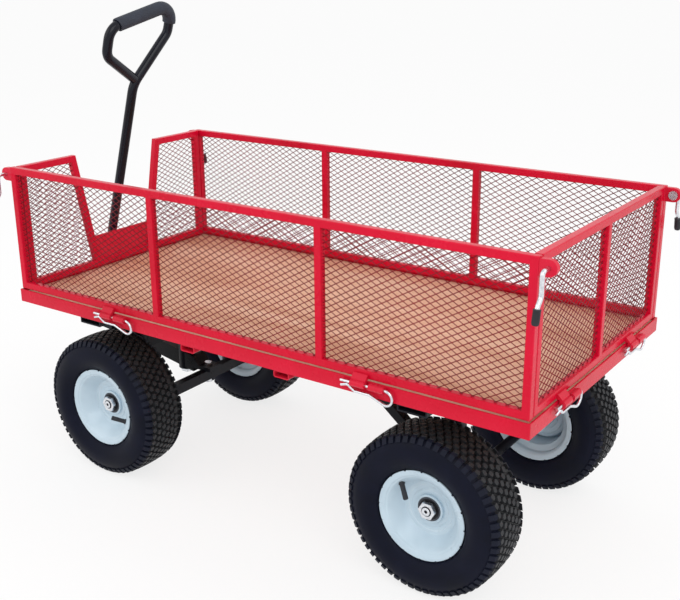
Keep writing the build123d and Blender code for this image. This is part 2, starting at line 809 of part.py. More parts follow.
# Diamond mesh welded inside the bays
def diamond_centres(bay):
    xs = [x for x, y in bay]
    ys = [y for x, y in bay]
    columns = round((max(xs) - min(xs)) / mesh_long_way)
    rows = round((max(ys) - min(ys)) / mesh_short_way)
    step_x = (max(xs) - min(xs)) / columns
    step_y = (max(ys) - min(ys)) / rows
    spots = [(min(xs) + step_x * i / 2, min(ys) + step_y * j / 2)
             for i in range(1, 2 * columns) for j in range(1, 2 * rows) if i % 2 == j % 2]
    return step_x, step_y, spots


def fits_bay(spot, half_x, bay):
    """True where a diamond of this half width stays inside the bay's two sides."""
    low_left, low_right, top_right, top_left = bay
    share = (spot[1] - bay_bottom) / (bay_top - bay_bottom)
    left = low_left[0] + share * (top_left[0] - low_left[0])
    right = low_right[0] + share * (top_right[0] - low_right[0])
    return left + half_x < spot[0] < right - half_x


for name, side in sides.items():
    with BuildPart() as panel_mesh:
        with BuildSketch(side.offset((mesh_thickness - panel_tube) / 2)):
            for bay in bays[name]:
                Polygon(*bay, align=None)
                step_x, step_y, spots = diamond_centres(bay)
                half_x = step_x / 2 - mesh_strand
                half_y = step_y / 2 - mesh_strand
                with Locations(*[spot for spot in spots if fits_bay(spot, half_x, bay)]):
                    Polygon((half_x, 0), (0, half_y), (-half_x, 0), (0, -half_y), align=None,
                            mode=Mode.SUBTRACT)
        extrude(amount=-mesh_thickness)
    save(panel_mesh, f"{name}_panel_mesh")

# Solid plate below the notch of the front panel
with BuildPart() as notch_plate:
    with BuildSketch(sides["front"].offset((notch_plate_thickness - panel_tube) / 2)):
        Polygon((notch_half(bay_bottom), bay_bottom), (notch_base_half, bay_bottom + notch_plate_height),
                (-notch_base_half, bay_bottom + notch_plate_height), (-notch_half(bay_bottom), bay_bottom),
                align=None)
    extrude(amount=-notch_plate_thickness)
save(notch_plate, "front_notch_plate")

# Hinge barrels welded to the deck frame beside the panels' barrels
with BuildPart() as frame_barrels:
    for name, side in sides.items():
        reach = hinge_reach[name]
        for place in hinge_places[name]:
            with BuildSketch(section_plane(side, place + barrel_start)):
                with Locations((reach - hinge_offset / 2, hinge_z)):
                    Rectangle(hinge_offset, barrel_web)
                with Locations((reach, hinge_z)):
                    Circle(barrel_radius)
                    Circle(clip_wire_radius + running_clearance, mode=Mode.SUBTRACT)
            extrude(amount=-barrel_length)
save(frame_barrels, "frame_hinge_barrels")

# Spring clips: a straight leg as the hinge pin, a round loop and a wavy leg that pinches the pin's far end
clip_low = barrel_radius + clip_wire_radius + clip_sag
clip_high = 2 * clip_wire_radius + clip_gap
clip_end = barrel_start + barrel_length
clip_out = (cos(radians(clip_lean)), -sin(radians(clip_lean)))
clip_tip = clip_end + clip_loop_reach
clip_nip = -clip_end - clip_pinch
clip_route = [(-clip_end - clip_tail, 0), (clip_tip, 0), (clip_tip, clip_loop_drop), (clip_knee, clip_low),
              (clip_heel - clip_end, clip_low), (clip_nip, clip_high),
              (clip_nip - clip_flick, clip_high + clip_flick_drop)]
clip_turns = [clip_loop_radius, clip_loop_radius, clip_loop_radius, clip_bend, clip_bend]
with BuildPart() as spring_clips:
    for name, side in sides.items():
        for place in hinge_places[name]:
            centre = side.from_local_coords((place, hinge_z, hinge_reach[name]))
            leg_way = side.z_dir * clip_out[0] + side.y_dir * clip_out[1]
            clip_plane = Plane(origin=centre, x_dir=side.x_dir, z_dir=side.x_dir.cross(leg_way))
            with BuildLine(clip_plane) as wire:
                FilletPolyline(*clip_route, radius=clip_turns)
            with BuildSketch(Plane(origin=wire.line @ 0, z_dir=wire.line % 0)):
                Circle(clip_wire_radius)
            sweep()
save(spring_clips, "spring_clips")

# Corner latches: lugs welded to the long panels, a sliding rod with a hanging lever in each
latch_along = end_face + latch_setback
collar_face = -lug_recess - lug_thickness - collar_gap
for name in ("left", "right"):
    side = sides[name]
    with BuildPart() as lugs:
        for way in (1, -1):
            with BuildSketch(side.offset(-lug_recess)):
                with Locations((way * (end_face + latch_setback / 2), latch_z)):
                    Rectangle(latch_setback, 2 * lug_radius)
                with Locations((way * latch_along, latch_z)):
                    Circle(lug_radius)
                    Circle(latch_rod_radius + running_clearance, mode=Mode.SUBTRACT)
            extrude(amount=-lug_thickness)
    save(lugs, f"{name}_latch_lugs")

latch_corners = {"left_rear": ("left", 1), "left_front": ("left", -1),
                 "right_rear": ("right", -1), "right_front": ("right", 1)}
lever_knee = (lever_reach + lever_knee_out, latch_z - lever_knee_drop)
grip_foot = (lever_reach + lever_flare, latch_z - lever_length)
for corner, (name, way) in latch_corners.items():
    lever_plane = section_plane(sides[name], way * latch_along)
    with BuildPart() as latch_rod:
        with BuildLine(lever_plane) as rod_path:
            FilletPolyline((collar_face - collar_thickness, latch_z), (lever_reach, latch_z),
                           (lever_reach, latch_z - lever_drop), lever_knee, grip_foot,
                           radius=[lever_turn, lever_sweep, lever_sweep])
        with BuildSketch(Plane(origin=rod_path.line @ 0, z_dir=rod_path.line % 0)):
            Circle(latch_rod_radius)
        sweep()
        with BuildSketch(Plane(origin=rod_path.line @ 0, z_dir=rod_path.line % 0)):
            Circle(collar_radius)
        extrude(amount=collar_thickness)
    save(latch_rod, f"{corner}_latch_rod")

    grip_end = rod_path.line @ 1
    grip_way = rod_path.line % 1
    with BuildPart() as lever_grip:
        with BuildSketch(Plane(origin=grip_end + grip_way * grip_cap, z_dir=-grip_way)):
            Circle(grip_radius)
        extrude(amount=grip_length)
        fillet(lever_grip.edges(), radius=grip_round)
        with BuildSketch(Plane(origin=grip_end, z_dir=-grip_way)):
            Circle(latch_rod_radius + running_clearance)
        extrude(amount=grip_length, mode=Mode.SUBTRACT)
    save(lever_grip, f"{corner}_lever_grip")

# Wheels: tyre, dished steel rim, two bearings and a valve each, drawn in the wheel's own half section


def half_section(points):
    return [(wheel_y + w, r) for w, r in points]


def tyre_section():
    half = tyre_width / 2
    bead = bead_radius + bead_gap
    foot_out = flange_inner - bead_gap
    foot_in = foot_out - tyre_wall
    side_out = [(foot_out, sidewall_foot), (half - belly_inset, belly_radius),
                (half - shoulder_inset, tyre_radius - shoulder_drop)]
    turn_out = [side_out[2], (half - turn_inset, tyre_radius - turn_drop),
                (half - crown_inset, tyre_radius - crown_drop)]
    inner_half = half - tyre_wall
    inner_radius = tyre_radius - tread_wall
    side_in = [(foot_in, sidewall_foot), (inner_half - belly_inset, belly_radius),
               (inner_half - shoulder_inset, inner_radius - shoulder_drop)]
    turn_in = [side_in[2], (inner_half - turn_inset, inner_radius - turn_drop),
               (inner_half - crown_inset, inner_radius - crown_drop)]
    foot = [(bead_toe, bead), (bead_edge - bead_gap, bead), (foot_out, flange_foot + bead_gap)]
    for flip in (1, -1):
        for arc in (side_out, turn_out, side_in, turn_in):
            ThreePointArc(*half_section([(flip * w, r) for w, r in arc]))
        Polyline(*half_section([(flip * w, r) for w, r in [side_in[0]] + foot + [side_out[0]]]))
    for turn, crown in ((turn_out, tyre_radius), (turn_in, inner_radius)):
        end_w, end_r = turn[2]
        ThreePointArc(*half_section([(end_w, end_r), (0, crown), (-end_w, end_r)]))


def rim_barrel():
    tyre_side = [(rim_half, flange_radius), (flange_inner, flange_radius), (flange_inner, flange_foot),
                 (bead_edge, bead_radius), (seat_half, bead_radius), (well_half, well_radius)]
    seat_back = bead_radius - rim_wall
    hub_side = [(rim_half, flange_lip), (flange_inner, seat_back), (seat_half + well_slant, seat_back),
                (well_half + well_slant, well_radius - rim_wall)]
    barrel = tyre_side + [(-w, r) for w, r in reversed(tyre_side)]
    barrel += [(-w, r) for w, r in hub_side] + list(reversed(hub_side))
    Polygon(*half_section(barrel), align=None)


def rim_dish():
    mouth_w, mouth_r = dish_mouth
    foot_w, foot_r = dish_foot
    inside = hub_radius - dish_wall
    face = disc_face - groove_depth
    back = disc_face - rim_wall
    outer_side = [(rim_half, flange_lip), (mouth_w, mouth_r), (foot_w, foot_r), (disc_face, disc_radius),
                  (disc_face, groove_outer), (face, groove_outer - groove_depth),
                  (face, groove_inner + groove_depth), (disc_face, groove_inner), (disc_face, inside)]
    inner_side = [(back, inside), (back, groove_inner - groove_depth), (back - groove_depth, groove_inner),
                  (back - groove_depth, groove_outer), (back, groove_outer + groove_depth),
                  (back, disc_radius + dish_wall), (foot_w - dish_wall, foot_r + dish_wall),
                  (mouth_w - dish_wall, mouth_r + dish_wall)]
    Polygon(*half_section(outer_side + inner_side), align=None)


def rim_hub():
    seat = bearing_radius + running_clearance
    inner_stop = bearing_width - hub_inboard
    outer_stop = hub_outboard - bearing_width
    hub = [(-hub_inboard, seat), (inner_stop, seat), (inner_stop, hub_bore), (outer_stop, hub_bore),
           (outer_stop, seat), (hub_outboard, seat), (hub_outboard, hub_radius), (-hub_inboard, hub_radius)]
    Polygon(*half_section(hub), align=None)


def bearing_ring(start):
    bore = axle_radius + running_clearance
    end = start + bearing_width
    ring = [(start, bore), (end, bore), (end, bearing_radius), (start, bearing_radius)]
    Polygon(*half_section(ring), align=None)


cone = Vector(dish_mouth[0] - dish_foot[0], dish_mouth[1] - dish_foot[1]).normalized()
valve_reach = wheel_y + dish_foot[0] + valve_along * cone.X
valve_height = dish_foot[1] + valve_along * cone.Y
wheels = {"front_left": (1, 1), "front_right": (1, -1), "rear_left": (-1, 1), "rear_right": (-1, -1)}
for corner, (end, hand) in wheels.items():
    centre = Vector(end * axle_x, 0, axle_z)
    wheel_plane = Plane(origin=centre, x_dir=(0, hand, 0), z_dir=(hand, 0, 0))
    spin = Axis(centre, (0, 1, 0))
    with BuildPart() as tyre:
        with BuildSketch(wheel_plane):
            with BuildLine():
                tyre_section()
            make_face()
        revolve(axis=spin)
    save(tyre, f"{corner}_tyre")

    # The valve stands square on the dish's cone
    valve_turn = radians(valve_angles[corner])
    radial = Vector(cos(valve_turn), 0, sin(valve_turn))
    outward = Vector(0, hand, 0)
    valve_base = centre + outward * valve_reach + radial * valve_height
    valve_way = outward * cone.Y - radial * cone.X
    with BuildPart() as rim:
        with BuildSketch(wheel_plane):
            rim_barrel()
            rim_dish()
            rim_hub()
        revolve(axis=spin)
        with BuildSketch(Plane(origin=valve_base, z_dir=valve_way)):
            Circle(valve_radius + running_clearance)
        extrude(amount=valve_root + rim_wall, both=True, mode=Mode.SUBTRACT)
    save(rim, f"{corner}_rim")

    with BuildPart() as valve:
        with BuildSketch(Plane(origin=valve_base - valve_way * valve_root, z_dir=valve_way)):
            Circle(valve_radius)
        extrude(amount=valve_root + valve_length)
        with BuildSketch(Plane(origin=valve_base + valve_way * valve_ring_gap, z_dir=valve_way)):
            Circle(valve_radius + valve_ring)
        extrude(amount=valve_ring_height)
        chamfer(valve.faces().sort_by(Axis(valve_base, valve_way))[-1].edges(), length=valve_chamfer)
    save(valve, f"{corner}_valve")

    with BuildPart() as bearings:
        with BuildSketch(wheel_plane):
            bearing_ring(-hub_inboard)
            bearing_ring(hub_outboard - bearing_width)
        revolve(axis=spin)
    save(bearings, f"{corner}_bearings")
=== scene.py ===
import json
from math import atan2, ceil, cos, pi, radians, sin, sqrt, tan

import bmesh
import bpy
from mathutils import Matrix, Quaternion, Vector

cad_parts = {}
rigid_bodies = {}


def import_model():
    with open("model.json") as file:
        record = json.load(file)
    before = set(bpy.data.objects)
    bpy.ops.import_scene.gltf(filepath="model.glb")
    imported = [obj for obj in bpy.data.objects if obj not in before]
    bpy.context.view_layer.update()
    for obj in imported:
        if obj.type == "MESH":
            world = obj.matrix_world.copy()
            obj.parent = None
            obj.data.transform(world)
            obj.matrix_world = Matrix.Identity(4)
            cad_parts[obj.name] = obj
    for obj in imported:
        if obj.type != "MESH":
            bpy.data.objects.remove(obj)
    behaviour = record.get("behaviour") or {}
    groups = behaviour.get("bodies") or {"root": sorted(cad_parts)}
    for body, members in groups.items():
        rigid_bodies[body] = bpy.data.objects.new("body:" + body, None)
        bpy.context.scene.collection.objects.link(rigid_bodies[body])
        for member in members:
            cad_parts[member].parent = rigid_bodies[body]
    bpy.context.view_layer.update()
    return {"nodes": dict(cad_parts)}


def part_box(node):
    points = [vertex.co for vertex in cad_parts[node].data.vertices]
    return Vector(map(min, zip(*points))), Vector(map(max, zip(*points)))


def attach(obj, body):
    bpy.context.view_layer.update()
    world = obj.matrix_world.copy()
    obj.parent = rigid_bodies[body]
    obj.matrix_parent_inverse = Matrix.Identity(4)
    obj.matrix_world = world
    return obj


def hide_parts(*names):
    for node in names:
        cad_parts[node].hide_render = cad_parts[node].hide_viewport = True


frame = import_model()
nodes = frame["nodes"]
scene = bpy.context.scene
mm = 0.001
mergeReach = 0.00002  # vertices closer than this are one
print("frame loaded,", len(nodes), "nodes")


# small helpers for working as in the viewport
def clearSelection():
    bpy.ops.object.select_all(action="DESELECT")


def holdPiece(piece):  # the only one selected, and active
    clearSelection()
    piece.select_set(True)
    bpy.context.view_layer.objects.active = piece


def openPiece(piece):
    holdPiece(piece)
    bpy.ops.object.mode_set(mode="EDIT")
    bpy.ops.mesh.select_mode(type="VERT")
    bpy.ops.mesh.select_all(action="SELECT")


def closePiece():
    bpy.ops.object.mode_set(mode="OBJECT")


def newPiece(name):  # an empty mesh at the origin, left open in edit mode
    clearSelection()
    bpy.ops.mesh.primitive_plane_add(size=0.01, location=(0, 0, 0))
    piece = bpy.context.object
    piece.name = name
    openPiece(piece)
    bpy.ops.mesh.delete(type="VERT")
    return piece


def drawLoop(points):  # a closed outline, drawn one vertex after the other
    bpy.ops.mesh.primitive_plane_add(size=mm, location=points[0])
    bpy.ops.mesh.merge(type="CENTER")
    for before, after in zip(points, points[1:] + points[:1]):
        step = Vector(after) - Vector(before)
        bpy.ops.mesh.extrude_region_move(TRANSFORM_OT_translate={"value": step})


def mendMesh():  # doubles merged first, then the faces turned outwards
    bpy.ops.mesh.select_all(action="SELECT")
    bpy.ops.mesh.remove_doubles(threshold=mergeReach)
    bpy.ops.mesh.normals_make_consistent(inside=False)


def spinRound(steps, axis):
    bpy.ops.mesh.select_all(action="SELECT")
    bpy.ops.mesh.spin(steps=steps, angle=2 * pi, center=(0, 0, 0), axis=axis)
    mendMesh()


def roundEdges(piece, width, segments, angle):
    holdPiece(piece)
    bevel = piece.modifiers.new("roundEdges", "BEVEL")
    bevel.width = width
    bevel.segments = segments
    bevel.limit_method = "ANGLE"
    bevel.angle_limit = radians(angle)
    bpy.ops.object.modifier_apply(modifier=bevel.name)


def smoothPiece(piece, angle):
    holdPiece(piece)
    bpy.ops.object.shade_smooth_by_angle(angle=radians(angle))


def copyPiece(piece, name, placing):  # a copy with its own mesh, its place in the mesh
    holdPiece(piece)
    bpy.ops.object.duplicate()
    copied = bpy.context.object
    copied.name = name
    copied.matrix_world = placing
    bpy.ops.object.transform_apply(location=True, rotation=True, scale=True)
    return copied


def joinPieces(pieces, name):
    clearSelection()
    for piece in pieces:
        piece.select_set(True)
    bpy.context.view_layer.objects.active = pieces[0]
    bpy.ops.object.join()
    pieces[0].name = name
    return pieces[0]


def dropPiece(piece):
    bpy.data.objects.remove(piece)


def givePiece(piece, finish, body, slot, *replaced):
    piece.data.materials.clear()
    piece.data.materials.append(finish)
    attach(piece, body)
    if replaced:
        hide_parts(*replaced)


# finishes
def tone(red, green, blue):  # a colour as read on the screen, 0 to 255
    def linear(value):
        value = value / 255
        return value / 12.92 if value <= 0.04045 else ((value + 0.055) / 1.055) ** 2.4
    return (linear(red), linear(green), linear(blue), 1)


def newFinish(name):
    finish = bpy.data.materials.new(name)
    finish.use_nodes = True
    return finish, finish.node_tree, finish.node_tree.nodes["Principled BSDF"]


def addPattern(tree, kind, scale, stretch=(1, 1, 1), turn=(0, 0, 0), **settings):
    place = tree.nodes.new("ShaderNodeTexCoord")
    mapping = tree.nodes.new("ShaderNodeMapping")
    mapping.inputs["Scale"].default_value = stretch
    mapping.inputs["Rotation"].default_value = turn
    pattern = tree.nodes.new(kind)
    pattern.inputs["Scale"].default_value = scale
    for key, value in settings.items():
        if key in pattern.inputs:
            pattern.inputs[key].default_value = value
        else:
            setattr(pattern, key, value)
    tree.links.new(place.outputs["Object"], mapping.inputs["Vector"])
    tree.links.new(mapping.outputs["Vector"], pattern.inputs["Vector"])
    return pattern.outputs[0]


def addRamp(tree, source, stops):
    ramp = tree.nodes.new("ShaderNodeValToRGB")
    bar = ramp.color_ramp
    while len(bar.elements) < len(stops):
        bar.elements.new(1)
    for element, (place, colour) in zip(bar.elements, stops):
        element.position = place
        element.color = colour
    tree.links.new(source, ramp.inputs["Fac"])
    return ramp.outputs["Color"]


def grey(value):
    return (value, value, value, 1)


def mixTones(tree, share, first, second, way="MIX"):
    mix = tree.nodes.new("ShaderNodeMix")
    mix.data_type = "RGBA"
    mix.blend_type = way
    if isinstance(share, float):
        mix.inputs[0].default_value = share
    else:
        tree.links.new(share, mix.inputs[0])
    for source, socket in ((first, mix.inputs[6]), (second, mix.inputs[7])):
        if isinstance(source, tuple):
            socket.default_value = source
        else:
            tree.links.new(source, socket)
    return mix.outputs[2]


def addBump(tree, shader, heights):  # heights: pattern, strength, depth in metres
    before = None
    for source, strength, depth in heights:
        bump = tree.nodes.new("ShaderNodeBump")
        bump.inputs["Strength"].default_value = strength
        bump.inputs["Distance"].default_value = depth
        tree.links.new(source, bump.inputs["Height"])
        if before:
            tree.links.new(before, bump.inputs["Normal"])
        before = bump.outputs["Normal"]
    tree.links.new(before, shader.inputs["Normal"])


def edgeShare(tree, low, high):  # convex edges and corners, from the curvature of the surface: the mask of the painted edge highlight
    geometry = tree.nodes.new("ShaderNodeNewGeometry")
    return addRamp(tree, geometry.outputs["Pointiness"], [(low, grey(0)), (high, grey(1))])


coatGrain = {"speck": 900.0, "smear": 38.0, "peel": 420.0, "peelDepth": 0.0002}


def sprayedFinish(name, looks):  # a sprayed coat: clouding, a little dust, a painted highlight on convex edges, orange peel
    finish, tree, shader = newFinish(name)
    cloud = addPattern(tree, "ShaderNodeTexNoise", looks["cloudScale"], Detail=3.0, Roughness=0.55)
    shades = [(0.3, looks["deep"]), (0.52, looks["main"]), (0.75, looks["light"])]
    colour = addRamp(tree, cloud, shades)
    speck = addPattern(tree, "ShaderNodeTexNoise", coatGrain["speck"], Detail=2.0)
    dust = addRamp(tree, speck, [(0.66, grey(0)), (0.8, grey(looks["dust"]))])
    colour = mixTones(tree, dust, colour, looks["dustTone"])
    # painted highlight: a lighter tone laid on convex edges and corners
    sheenShare = mixTones(tree, edgeShare(tree, 0.53, 0.6), grey(0), grey(looks["edgeSheen"]))
    colour = mixTones(tree, sheenShare, colour, looks["edgeSheenTone"])
    tree.links.new(colour, shader.inputs["Base Color"])
    smear = addPattern(tree, "ShaderNodeTexNoise", coatGrain["smear"], Detail=5.0, Roughness=0.6)
    gloss = addRamp(tree, smear, [(0.3, grey(looks["gloss"])), (0.75, grey(looks["dull"]))])
    tree.links.new(gloss, shader.inputs["Roughness"])
    peel = addPattern(tree, "ShaderNodeTexNoise", coatGrain["peel"], Detail=2.0)
    addBump(tree, shader, [(peel, looks["peel"], coatGrain["peelDepth"])])
    shader.inputs["Specular IOR Level"].default_value = looks["shine"]
    shader.inputs["Coat Weight"].default_value = looks["coat"]
    shader.inputs["Coat Roughness"].default_value = looks["gloss"]
    return finish


# the lighter edge tone in these looks is a painted highlight on convex edges
redLooks = {
    "deep": tone(191, 7, 38), "main": tone(204, 9, 45), "light": tone(214, 14, 53),
    "cloudScale": 5.0, "dust": 0.06, "dustTone": tone(228, 110, 126),
    "edgeSheen": 0.12, "edgeSheenTone": tone(232, 80, 100),
    "gloss": 0.20, "dull": 0.34, "peel": 0.10, "shine": 0.14, "coat": 0.03,
}
# painted shade: the mesh strands take the frame's red made darker, as they look in shade
shadedMeshLooks = dict(redLooks, deep=tone(98, 6, 20), main=tone(120, 8, 26), light=tone(138, 10, 32),
                 edgeSheen=0.0, gloss=0.35, dull=0.5, coat=0.0, shine=0.2)
# the lighter edge tone here is a painted highlight on convex edges
blackLooks = {
    "deep": tone(9, 10, 15), "main": tone(13, 14, 21), "light": tone(20, 22, 30),
    "cloudScale": 6.0, "dust": 0.08, "dustTone": tone(70, 72, 80),
    "edgeSheen": 0.16, "edgeSheenTone": tone(62, 64, 73),
    "gloss": 0.24, "dull": 0.40, "peel": 0.14, "shine": 0.12, "coat": 0.03,
}
stemLooks = dict(blackLooks, deep=tone(10, 12, 20), main=tone(15, 18, 29), light=tone(23, 27, 40),
                 gloss=0.13, dull=0.24, shine=0.22, coat=0.05)
# the near-white edge tone here is a painted highlight on the rim's lip and edges
rimLooks = {
    "deep": tone(177, 197, 210), "main": tone(187, 206, 218), "light": tone(198, 215, 226),
    "cloudScale": 9.0, "dust": 0.12, "dustTone": tone(176, 182, 190),
    "edgeSheen": 0.12, "edgeSheenTone": tone(246, 250, 252),
    "gloss": 0.26, "dull": 0.42, "peel": 0.08, "shine": 0.5, "coat": 0.2,
}
redCoat = sprayedFinish("redCoat", redLooks)
shadedMeshCoat = sprayedFinish("shadedMeshCoat", shadedMeshLooks)
blackCoat = sprayedFinish("blackCoat", blackLooks)
stemCoat = sprayedFinish("stemCoat", stemLooks)
rimEnamel = sprayedFinish("rimEnamel", rimLooks)


def platedFinish(name, looks):  # bright plating with cloudy spangle and fine scratches
    finish, tree, shader = newFinish(name)
    spangle = addPattern(tree, "ShaderNodeTexVoronoi", looks["spangle"])
    colour = addRamp(tree, spangle, [(0.0, looks["light"]), (0.5, looks["main"]), (1.0, looks["deep"])])
    tree.links.new(colour, shader.inputs["Base Color"])
    scratch = addPattern(tree, "ShaderNodeTexNoise", 160.0, stretch=(1, 1, 9), Detail=6.0, Roughness=0.7)
    gloss = addRamp(tree, scratch, [(0.35, grey(looks["gloss"])), (0.7, grey(looks["dull"]))])
    tree.links.new(gloss, shader.inputs["Roughness"])
    addBump(tree, shader, [(scratch, 0.08, 0.0001)])
    shader.inputs["Metallic"].default_value = looks["metal"]
    return finish


zincLooks = {"light": tone(236, 238, 242), "main": tone(222, 225, 230), "deep": tone(196, 201, 208),
             "spangle": 240.0, "gloss": 0.16, "dull": 0.36, "metal": 1.0}
raceLooks = {"light": tone(96, 98, 104), "main": tone(80, 82, 88), "deep": tone(60, 62, 68),
             "spangle": 500.0, "gloss": 0.25, "dull": 0.45, "metal": 1.0}
zincPlate = platedFinish("zincPlate", zincLooks)
bearingRace = platedFinish("bearingRace", raceLooks)


def rubberFinish(name, looks):  # moulded rubber: bloom, a painted highlight on convex edges, a fine grain
    finish, tree, shader = newFinish(name)
    bloom = addPattern(tree, "ShaderNodeTexNoise", looks["bloomScale"], Detail=5.0, Roughness=0.6)
    colour = addRamp(tree, bloom, [(0.3, looks["deep"]), (0.55, looks["main"]), (0.8, looks["light"])])
    # painted highlight: a lighter tone laid on convex edges and corners
    sheenShare = mixTones(tree, edgeShare(tree, 0.52, 0.62), grey(0), grey(looks["edgeSheen"]))
    colour = mixTones(tree, sheenShare, colour, looks["edgeSheenTone"])
    tree.links.new(colour, shader.inputs["Base Color"])
    grain = addPattern(tree, "ShaderNodeTexNoise", looks["grainScale"], Detail=4.0)
    dull = addRamp(tree, bloom, [(0.3, grey(looks["gloss"])), (0.7, grey(looks["dull"]))])
    tree.links.new(dull, shader.inputs["Roughness"])
    addBump(tree, shader, [(grain, looks["grain"], 0.0003)])
    shader.inputs["Specular IOR Level"].default_value = looks["shine"]
    return finish


# the lighter edge tone in these looks is a painted highlight on convex edges
tyreLooks = {"deep": tone(9, 12, 24), "main": tone(13, 16, 32), "light": tone(21, 24, 40),
             "bloomScale": 14.0, "edgeSheen": 0.16, "edgeSheenTone": tone(58, 62, 74),
             "grainScale": 700.0, "grain": 0.25,
             "gloss": 0.42, "dull": 0.6, "shine": 0.1}
# the grey edge tone of the tread is a painted highlight on the block edges
treadLooks = dict(tyreLooks, deep=tone(12, 13, 16), main=tone(17, 18, 22), light=tone(29, 30, 34),
                  bloomScale=90.0, edgeSheen=0.22, edgeSheenTone=tone(80, 82, 86), shine=0.22)
# the lighter edge tone here is a painted highlight on convex edges
gripLooks = {"deep": tone(36, 40, 50), "main": tone(45, 50, 62), "light": tone(58, 63, 75),
             "bloomScale": 60.0, "edgeSheen": 0.2, "edgeSheenTone": tone(96, 98, 104),
             "grainScale": 900.0, "grain": 0.5,
             "gloss": 0.5, "dull": 0.72, "shine": 0.35}
leverLooks = dict(gripLooks, deep=tone(26, 27, 32), main=tone(36, 37, 43), light=tone(48, 50, 57))
sealLooks = dict(gripLooks, deep=tone(14, 15, 19), main=tone(20, 21, 26), light=tone(30, 31, 37), gloss=0.3)
tyreRubber = rubberFinish("tyreRubber", tyreLooks)
treadRubber = rubberFinish("treadRubber", treadLooks)
gripRubber = rubberFinish("gripRubber", gripLooks)
leverRubber = rubberFinish("leverRubber", leverLooks)
sealRubber = rubberFinish("sealRubber", sealLooks)


plyLooks = {"early": tone(229, 186, 158), "main": tone(219, 168, 138), "late": tone(197, 142, 110),
            "pore": tone(172, 104, 68), "figure": 2.2, "grainScale": 55.0, "poreScale": 260.0}


def plywoodFinish(looks):  # rotary-cut face veneer, the grain along the deck
    finish, tree, shader = newFinish("plywood")
    figure = addPattern(tree, "ShaderNodeTexNoise", looks["figure"],
                        stretch=(0.6, 5, 5), Detail=5.0, Distortion=0.9)
    shades = [(0.3, looks["late"]), (0.46, looks["main"]), (0.72, looks["early"])]
    colour = addRamp(tree, figure, shades)
    grain = addPattern(tree, "ShaderNodeTexNoise", looks["grainScale"],
                       stretch=(0.05, 3, 3), Detail=6.0, Roughness=0.7)
    streak = addRamp(tree, grain, [(0.52, grey(0)), (0.72, grey(0.34))])
    colour = mixTones(tree, streak, colour, looks["late"])
    pores = addPattern(tree, "ShaderNodeTexNoise", looks["poreScale"], stretch=(0.06, 2.4, 2.4), Detail=2.0)
    pits = addRamp(tree, pores, [(0.62, grey(0)), (0.72, grey(0.55))])
    colour = mixTones(tree, pits, colour, looks["pore"])
    tree.links.new(colour, shader.inputs["Base Color"])
    dull = addRamp(tree, grain, [(0.3, grey(0.42)), (0.75, grey(0.62))])
    tree.links.new(dull, shader.inputs["Roughness"])
    addBump(tree, shader, [(grain, 0.18, 0.0005), (pits, 0.3, 0.0002)])
    shader.inputs["Specular IOR Level"].default_value = 0.4
    return finish


plywood = plywoodFinish(plyLooks)
print("finishes ready")

# tyres: a spun carcass, rows of tread blocks, shoulder lugs and bead nibs. Sections are (width, radius) in mm
tyre = {
    "steps": 96,
    "side": [(34, 76.4), (43.2, 76.4), (43.2, 90.2), (46.6, 91.4), (50.6, 95), (51.6, 97.6), (54.4, 101.4),
             (57.4, 108), (58.9, 114.5), (59.1, 121), (58.2, 130), (56.6, 135.5), (53.2, 143), (48, 149.2),
             (42, 152.2), (22, 154.2)],
    "hollow": [(34, 92), (47, 101), (50, 120), (46, 138), (38, 145)],
    "blocks": 60,
    "rows": 7, "rowStep": 12.8, "blockLength": 11.8, "blockWidth": 10.6, "blockDepth": 6.0, "skew": 20,
    "blockCorner": 2.2, "blockTaper": 0.86, "crown": 159.9, "crownDrop": 2.5, "crownHalf": 42,
    "lug": [(43.4, 150.5), (43.4, 156.7), (49.2, 154.0), (53.2, 147.6), (54.6, 144.6), (52.6, 144.0),
            (48.6, 147.5)],
    "lugLength": 10.0,
    "nibs": 16, "nibPlace": (45.6, 88.9), "nibSize": (3.4, 3.4, 4.2), "nibCorner": 0.7,
}


def wheelPoint(width, radius):  # a section point, in the plane over the axle
    return (0, width * mm, radius * mm)


def spinCopies(count):  # the selected block repeated round the axle
    sweep = 2 * pi * (count - 1) / count
    bpy.ops.mesh.spin(steps=count - 1, dupli=True, angle=sweep, center=(0, 0, 0), axis=(0, 1, 0))


